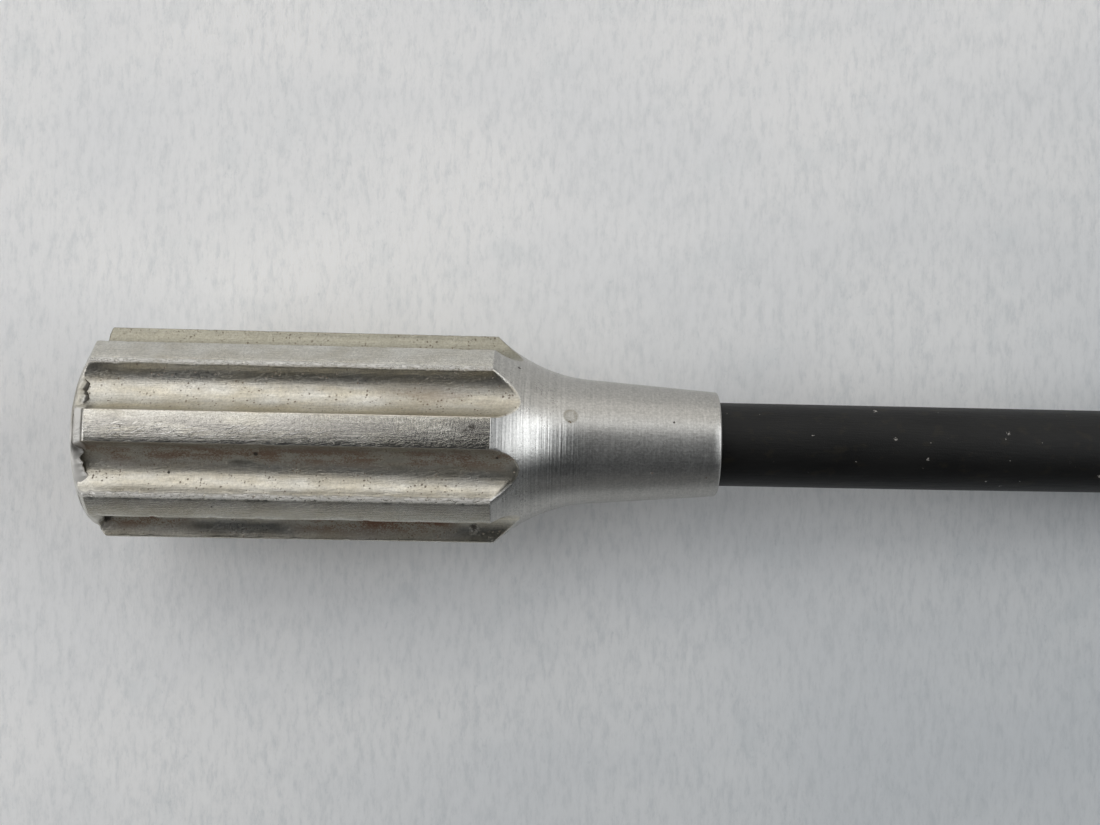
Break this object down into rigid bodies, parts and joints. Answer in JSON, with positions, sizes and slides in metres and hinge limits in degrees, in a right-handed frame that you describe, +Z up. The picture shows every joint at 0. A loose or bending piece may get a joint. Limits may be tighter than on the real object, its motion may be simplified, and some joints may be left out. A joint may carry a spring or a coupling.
{
  "type": "cable shutter release",
  "caption": "Cable shutter release: a fluted aluminium coupling screws onto a camera, and a plunger grip pushes a wire through a black sheath to its release pin.",
  "frame": {"origin": "centre of the coupling's mouth, on its axis", "axes": "+X along the coupling's axis from its mouth towards the sheath, +Z up from the table that the release lies on"},
  "size_m": [0.1501, 0.0726, 0.016],
  "materials": {
    "dull_aluminium": "dull, scratched and stained",
    "brass": "turned, a little tarnished",
    "steel": "drawn",
    "black_sheath": "smooth, matt"
  },
  "bodies": {
    "grip_and_sheath": {"sheath": "black_sheath", "wound_liner": "steel", "drive_wire": "steel", "sheath_ferrule": "brass", "thrust_washer": "steel", "pin_guide": "brass", "grip_ferrule": "dull_aluminium", "grip_barrel": "dull_aluminium", "finger_flange": "dull_aluminium", "end_cap": "dull_aluminium", "lock_clip": "steel", "lock_pin": "steel", "spring_seat": "steel", "return_spring": "steel"},
    "coupling": {"coupling_sleeve": "dull_aluminium", "mouth_bush": "dull_aluminium", "retaining_ring": "steel"},
    "pin": {"release_pin": "steel", "wire_crimp": "brass", "front_wire": "steel"},
    "plunger": {"plunger_rod": "steel", "plunger_collar": "brass", "clamp_screw": "steel", "thumb_button": "dull_aluminium", "rear_wire": "steel"},
    "lock": {"lock_ring": "dull_aluminium"}
  },
  "joints": [
    {"name": "coupling_turn", "type": "hinge", "parent": "grip_and_sheath", "child": "coupling", "pos_m": [0, 0, 0], "axis": [1, 0, 0], "continuous": true},
    {"name": "plunger_press", "type": "slide", "parent": "grip_and_sheath", "child": "plunger", "axis": [1, 0, 0], "range_m": [0, 0.007], "stiffness_N_per_m": 250, "springref_m": -0.004, "deforming": ["return_spring"]},
    {"name": "pin_push", "type": "slide", "parent": "grip_and_sheath", "child": "pin", "axis": [-1, 0, 0], "range_m": [0, 0.007]},
    {"name": "lock_turn", "type": "hinge", "parent": "grip_and_sheath", "child": "lock", "pos_m": [-0.0206, -0.058, 0.00144], "axis": [1, 0, 0], "range_deg": [0, 45]}
  ],
  "couplings": [
    {"joint": "pin_push", "follows": "plunger_press", "ratio": 1}
  ]
}
